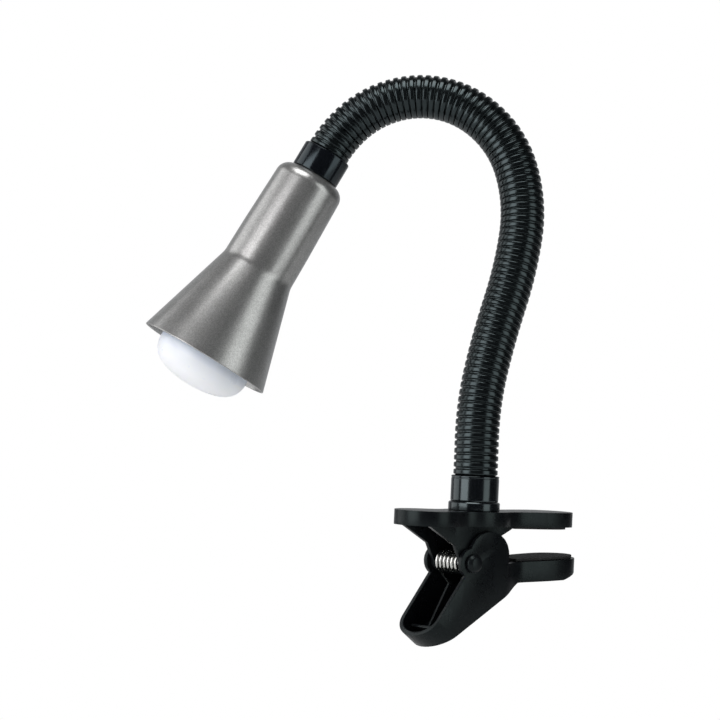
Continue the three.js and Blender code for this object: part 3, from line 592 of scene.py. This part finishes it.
def build_neck():
    """Eight covers, one across each of the neck's hinges."""
    stiff_end = 4.6 * MM
    for k in range(1, HINGES + 1):
        cover, begins, ends = neck_cover(k)
        nodes = [f"neck_sleeve_{k - 1}"] + ([f"neck_sleeve_{k}"] if k == HINGES else [])
        give(cover, NECK_VINYL, None, "neck_plastic", *nodes)
        start, _, _ = neck_at(begins + (0 if k == 1 else stiff_end))
        end, _, _ = neck_at(ends - (0 if k == HINGES else stiff_end))
        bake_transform(cover)


build_neck()


# ---------------------------------------------------------------- neck's foot
def build_foot():
    """The flange on the plate and the sleeve over the neck's end, turned in the foot's frame."""
    flange_profile = rounded([(5.2, 0.15), (12.9, 0.15), (12.9, 3.9), (12.3, 4.5), (11.2, 4.5), (5.2, 4.5)],
                             [0, 0.3, 0.35, 0.3, 0.2, 0], 5)
    flange = lathe("foot_flange", flange_profile, 128, FOOT_FRAME, closed=True)
    give(flange, SLEEVE_PLASTIC, "base", "sleeve_plastic", "base_flange")
    sleeve_profile = rounded([
        (5.2, 4.6), (11.75, 4.6), (12.0, 5.3), (12.0, 15.9), (11.86, 16.15), (11.86, 16.5), (12.0, 16.75),
        (12.0, 17.35), (11.35, 17.5), (11.35, 7.5), (5.2, 7.5)],
        [0, 0.15, 0.25, 0.12, 0.06, 0.06, 0.12, 0.3, 0.15, 0, 0], 4)
    sleeve = lathe("foot_sleeve", sleeve_profile, 128, FOOT_FRAME, closed=True)
    give(sleeve, SLEEVE_PLASTIC, "base", "sleeve_plastic", "base_sleeve")


build_foot()


# ---------------------------------------------------------------- head
BULB_R = 25.1
# The screw cap's thread, back from the tip of the glass, in millimetres.
THREAD_START = 63.4
THREAD_END = 77.5
THREAD_PITCH = 2.2


def build_collar():
    """The cap between the neck and the shade."""
    profile = rounded([
        (5.1, 13.25), (5.1, 7.0), (11.4, 7.0), (11.4, 0.0), (12.15, 0.0), (12.7, 0.55), (12.7, 12.95),
        (12.4, 13.25)],
        [0, 0, 0, 0.15, 0.25, 0.3, 0.2, 0], 4)
    collar = lathe("head_collar_skin", profile, 128, HEAD, closed=True)
    give(collar, COLLAR_PLASTIC, "head", "collar_plastic", "head_collar")


def shade_profile():
    """The spun shell: a barrel, a cone and a rolled lip, outside first and then back along the inside."""
    outside = rounded([
        (5.1, BACK_Z), (18.1, BACK_Z), (19.2, MOUTH_Z - 70), (19.45, MOUTH_Z - 52.3), (34.5, MOUTH_Z)],
        [0, 7.6, 0, 13.0, 0], 18)
    inside = rounded([
        (33.55, MOUTH_Z), (18.5, MOUTH_Z - 51.9), (18.25, MOUTH_Z - 70), (17.1, BACK_Z + 1),
        (5.1, BACK_Z + 1)],
        [0, 13.0, 0, 6.6, 0], 14)
    lip = [(34.62, MOUTH_Z + 0.02), (34.66, MOUTH_Z + 0.3), (34.45, MOUTH_Z + 0.55), (34.1, MOUTH_Z + 0.62),
           (33.72, MOUTH_Z + 0.5), (33.55, MOUTH_Z + 0.2)]
    return [tuple(p) for p in outside[:-1]] + lip + [tuple(p) for p in inside]


def build_shade():
    shade = lathe("shade_spun", shade_profile(), 192, HEAD, sharp_deg=50, closed=True)
    give(shade, SHADE_PAINT, "head", "shade_metal", "shade")


def build_bulb():
    """The reflector lamp: its glass, and its screw cap with a rolled thread."""
    # (share of the glass's radius, distance back from its tip)
    outline = [
        (0, 0), (0.14, 0.10), (0.28, 0.38), (0.42, 0.90), (0.55, 1.66), (0.67, 2.70), (0.78, 4.10),
        (0.87, 5.95), (0.935, 8.10), (0.975, 10.4), (0.995, 12.6), (1.0, 14.6), (0.992, 17.0),
        (0.965, 20.2), (0.915, 25.0), (0.845, 31.5), (0.76, 37.5), (0.66, 44.0), (0.57, 50.0),
        (0.48, 55.5), (0.38, 59.5), (0.275, 61.6), (0, 61.9),
    ]
    profile = [(share * BULB_R, TIP_Z - back) for share, back in outline]
    glass = lathe("bulb_reflector_glass", profile, 128, HEAD)
    give(glass, FROSTED, "bulb", "bulb_frosted", "bulb_glass")
    thread = [(0, TIP_Z - 62.3), (6.4, TIP_Z - 62.3), (6.75, TIP_Z - 62.7)]
    back = THREAD_START
    while back < THREAD_END:
        thread += [(6.75, TIP_Z - back), (6.55, TIP_Z - back - 0.35), (6.15, TIP_Z - back - 0.8),
                   (6.15, TIP_Z - back - 1.2), (6.55, TIP_Z - back - 1.7)]
        back += THREAD_PITCH
    thread += [(6.3, TIP_Z - 78.6), (5.4, TIP_Z - 79.7), (0, TIP_Z - 79.8)]
    cap = lathe("bulb_screw_cap", thread, 64, HEAD)
    give(cap, NICKEL, "bulb", "bulb_cap_nickel", "bulb_cap")


build_collar()
build_shade()
build_bulb()


# ---------------------------------------------------------------- spring and pivot
SPRING_TURNS = 5
SPRING_COIL_R = 5.2
SPRING_WIRE_R = 0.8
SPRING_HALF_LENGTH = 7.6
UPPER_LEG_DEG = 150
UPPER_LEG = 20.4
LOWER_LEG_DEG = 225
LOWER_LEG = 20.2
LEG_STEPS = 12
TURN_STEPS = 40


def build_spring():
    """The torsion spring: a leg up under the plate, its turns about the pin, a leg down in the handle."""
    upper = math.radians(UPPER_LEG_DEG)
    lower = math.radians(LOWER_LEG_DEG + 360 * SPRING_TURNS)
    half = SPRING_HALF_LENGTH
    centres = []

    def place(angle, tangential, y):
        return PIVOT + Vector((
            SPRING_COIL_R * math.cos(angle) - tangential * math.sin(angle),
            y,
            SPRING_COIL_R * math.sin(angle) + tangential * math.cos(angle),
        )) * MM

    for i in range(LEG_STEPS):
        centres.append(place(upper, -UPPER_LEG * (1 - i / LEG_STEPS), -half))
    steps = SPRING_TURNS * TURN_STEPS
    for i in range(steps + 1):
        t = i / steps
        centres.append(place(upper + (lower - upper) * t, 0, half * (2 * t - 1)))
    for i in range(1, LEG_STEPS + 1):
        centres.append(place(lower, LOWER_LEG * i / LEG_STEPS, half))
    spring = tube("torsion_spring_wire", centres, SPRING_WIRE_R * MM, 14)
    give(spring, NICKEL, None, "spring_nickel", "torsion_spring")
    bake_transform(spring)


def build_pivot():
    """The pin with chamfered ends, and a domed cap on each side."""
    reach = 16.9
    seat = 15.0
    pin = lathe("pivot_pin_turned", [(0, -reach), (1.7, -reach), (2.0, -reach + 0.3), (2.0, reach - 0.3),
                                     (1.7, reach), (0, reach)], 48, PIVOT_FRAME)
    give(pin, STEEL, "base", "pin_steel", "pivot_pin")
    profile = rounded([(0, seat + 2.5), (2.3, seat + 2.5), (2.3, seat), (4.6, seat), (4.6, seat + 1.4),
                       (3.2, seat + 3.0), (0, seat + 3.55)], [0, 0, 0, 0.2, 0.8, 1.6, 0], 6)
    for name, flip in (("near", -1), ("far", 1)):
        side = [(point[0], point[1] * flip) for point in profile]
        cap = lathe(f"pivot_cap_{name}_dome", side, 64, PIVOT_FRAME)
        give(cap, CLAMP_PLASTIC, "base", "clamp_plastic", f"pivot_cap_{name}")


build_spring()
build_pivot()


# ---------------------------------------------------------------- clamp
def softened(name, node, width, segments=3):
    """A finer copy of a CAD node's shape with its edges rounded."""
    mesh = frame["nodes"][node].data.copy()
    mesh.name = name
    made = bpy.data.objects.new(name, mesh)
    bpy.context.scene.collection.objects.link(made)
    bm = bmesh.new()
    bm.from_mesh(mesh)
    bmesh.ops.remove_doubles(bm, verts=bm.verts, dist=2e-6)
    bmesh.ops.dissolve_limit(bm, angle_limit=math.radians(1.0), verts=bm.verts, edges=bm.edges)
    bm.to_mesh(mesh)
    bm.free()
    bevel = made.modifiers.new("edges", "BEVEL")
    bevel.width = width
    bevel.segments = segments
    bevel.limit_method = "ANGLE"
    bevel.angle_limit = math.radians(32)
    bevel.use_clamp_overlap = True
    apply_modifiers(made)
    made.data.shade_smooth()
    made.data.set_sharp_from_angle(angle=math.radians(35))
    return made


def apply_modifiers(made):
    graph = bpy.context.evaluated_depsgraph_get()
    mesh = bpy.data.meshes.new_from_object(made.evaluated_get(graph))
    made.modifiers.clear()
    made.data = mesh


def build_clamp():
    """Both clamp halves, with their edges rounded."""
    upper = softened("clamp_upper_moulding", "clamp_upper", 0.7 * MM)
    give(upper, CLAMP_PLASTIC, "base", "clamp_plastic", "clamp_upper")
    lower = softened("clamp_lower_moulding", "clamp_lower", 0.6 * MM)
    give(lower, CLAMP_PLASTIC, "lower_jaw", "clamp_plastic", "clamp_lower")


build_clamp()

# ---------------------------------------------------------------- CAD nodes that stay
KEPT = {
    "upper_jaw_pad": PAD_RUBBER, "lower_jaw_pad": PAD_RUBBER, "mounting_stud": STEEL,
    "lock_washer": STEEL, "lock_nut": STEEL, "cord_bush": SLEEVE_PLASTIC, "head_stud": STEEL,
    "head_nut": STEEL, "holder_body": PHENOLIC, "screw_shell": BRASS, "centre_contact": BRASS,
    "terminal_live": BRASS, "terminal_neutral": BRASS, "bulb_insulator": PHENOLIC, "bulb_contact": BRASS,
}
for i in range(HINGES + 1):
    KEPT[f"flex_core_{i}"] = STEEL
for node, material in KEPT.items():
    kept = frame["nodes"][node]
    if kept.material_slots:
        kept.material_slots[0].material = material

# ---------------------------------------------------------------- studio
# The camera looks square on to the neck's plane.
VIEW = math.radians(-38)
RIGHT = Vector((math.cos(VIEW), math.sin(VIEW), 0))
AWAY = Vector((-math.sin(VIEW), math.cos(VIEW), 0))
AIM = BODY + RIGHT * (-61.17 * MM) + Vector((0, 0, 72.6 * MM))
CAMERA_DISTANCE = 1.7
CAMERA_LENS = 170
CAMERA_ROLL = math.radians(2.6)
LIGHT_DISTANCE = 2.4
FLOOR_Z = -0.27
FLOOR_R = 1.5
FLOOR_SIDES = 96
FLOOR_GLOW = 0.4


def build_camera():
    """A long lens, level with the lamp and rolled a little."""
    data = bpy.data.cameras.new("camera")
    data.sensor_width = 36
    data.lens = CAMERA_LENS
    data.clip_start = 0.05
    data.clip_end = 50
    camera = bpy.data.objects.new("camera", data)
    bpy.context.scene.collection.objects.link(camera)
    up = Vector((0, 0, 1))
    right = RIGHT * math.cos(CAMERA_ROLL) + up * math.sin(CAMERA_ROLL)
    over = up * math.cos(CAMERA_ROLL) - RIGHT * math.sin(CAMERA_ROLL)
    turn = Matrix((right, over, -AWAY)).transposed().to_4x4()
    camera.matrix_world = Matrix.Translation(AIM - AWAY * CAMERA_DISTANCE) @ turn
    bpy.context.scene.camera = camera


def softbox(name, azimuth, elevation, distance, width, height, radiance, tint=(1, 1, 1)):
    """A soft rectangular light. Azimuth 0 is the camera's side, positive to its right."""
    turn, lift = math.radians(azimuth), math.radians(elevation)
    level = -AWAY * math.cos(turn) + RIGHT * math.sin(turn)
    direction = level * math.cos(lift) + Vector((0, 0, math.sin(lift)))
    data = bpy.data.lights.new(name, "AREA")
    data.shape = "RECTANGLE"
    data.size = width
    data.size_y = height
    data.energy = radiance * math.pi * width * height
    data.color = tint
    light = bpy.data.objects.new(name, data)
    bpy.context.scene.collection.objects.link(light)
    light.location = AIM + direction * distance
    light.rotation_euler = (-direction).to_track_quat("-Z", "Y").to_euler()


def build_world():
    """White to the camera; to everything else a dim room that is lighter behind the lamp."""
    world = bpy.data.worlds.new("studio")
    bpy.context.scene.world = world
    world.use_nodes = True
    nodes, links = world.node_tree.nodes, world.node_tree.links
    nodes.clear()
    out = nodes.new("ShaderNodeOutputWorld")
    where = nodes.new("ShaderNodeTexCoord").outputs["Generated"]
    dot = nodes.new("ShaderNodeVectorMath")
    dot.operation = "DOT_PRODUCT"
    dot.inputs[1].default_value = AWAY
    links.new(where, dot.inputs[0])
    room = ramp(nodes, links, dot.outputs["Value"],
                [(0.0, (0.025, 0.028, 0.03)), (0.5, (0.05, 0.053, 0.056)), (0.95, (0.45, 0.46, 0.47))])
    lit = nodes.new("ShaderNodeBackground")
    links.new(room, lit.inputs["Color"])
    lit.inputs["Strength"].default_value = 1.0
    seen = nodes.new("ShaderNodeBackground")
    seen.inputs["Color"].default_value = (1, 1, 1, 1)
    seen.inputs["Strength"].default_value = 1.0
    path = nodes.new("ShaderNodeLightPath")
    mix = nodes.new("ShaderNodeMixShader")
    links.new(path.outputs["Is Camera Ray"], mix.inputs["Fac"])
    links.new(lit.outputs["Background"], mix.inputs[1])
    links.new(seen.outputs["Background"], mix.inputs[2])
    links.new(mix.outputs["Shader"], out.inputs["Surface"])


def build_floor():
    """A plain pale disc well below the lamp."""
    middle = Vector((AIM.x, AIM.y, FLOOR_Z))
    turns = [2 * math.pi * k / FLOOR_SIDES for k in range(FLOOR_SIDES)]
    rim = [Vector((math.cos(a), math.sin(a), 0)) * FLOOR_R + middle for a in turns]
    floor = mesh_object("studio_floor", rim, [tuple(range(FLOOR_SIDES))])
    material, nodes, links, shader = new_material("studio_floor_paint")
    where = nodes.new("ShaderNodeTexCoord").outputs["Object"]
    blotch = noise(nodes, links, where, 3.0, 2.0, 0.5)
    links.new(ramp(nodes, links, blotch, [(0.3, 0.90), (0.7, 0.92)]), shader.inputs["Base Color"])
    links.new(ramp(nodes, links, blotch, [(0.3, 0.75), (0.7, 0.8)]), shader.inputs["Roughness"])
    path = nodes.new("ShaderNodeLightPath")
    glow = nodes.new("ShaderNodeMath")
    glow.operation = "MULTIPLY"
    links.new(path.outputs["Is Camera Ray"], glow.inputs[0])
    glow.inputs[1].default_value = FLOOR_GLOW
    shader.inputs["Emission Color"].default_value = (1, 1, 1, 1)
    links.new(glow.outputs["Value"], shader.inputs["Emission Strength"])
    floor.data.materials.append(material)


build_camera()
build_world()
build_floor()
softbox("left_softbox", -52, 8, LIGHT_DISTANCE, 1.7, 2.4, 3.2, (1.0, 0.985, 0.995))
softbox("right_softbox", 58, 6, LIGHT_DISTANCE, 1.3, 2.4, 1.6, (0.97, 1.0, 0.99))
softbox("left_rim_softbox", -104, 14, LIGHT_DISTANCE, 1.8, 2.4, 1.4)
softbox("top_softbox", -20, 76, 2.2, 1.4, 1.4, 4.2)
bpy.context.scene.view_settings.view_transform = "Standard"
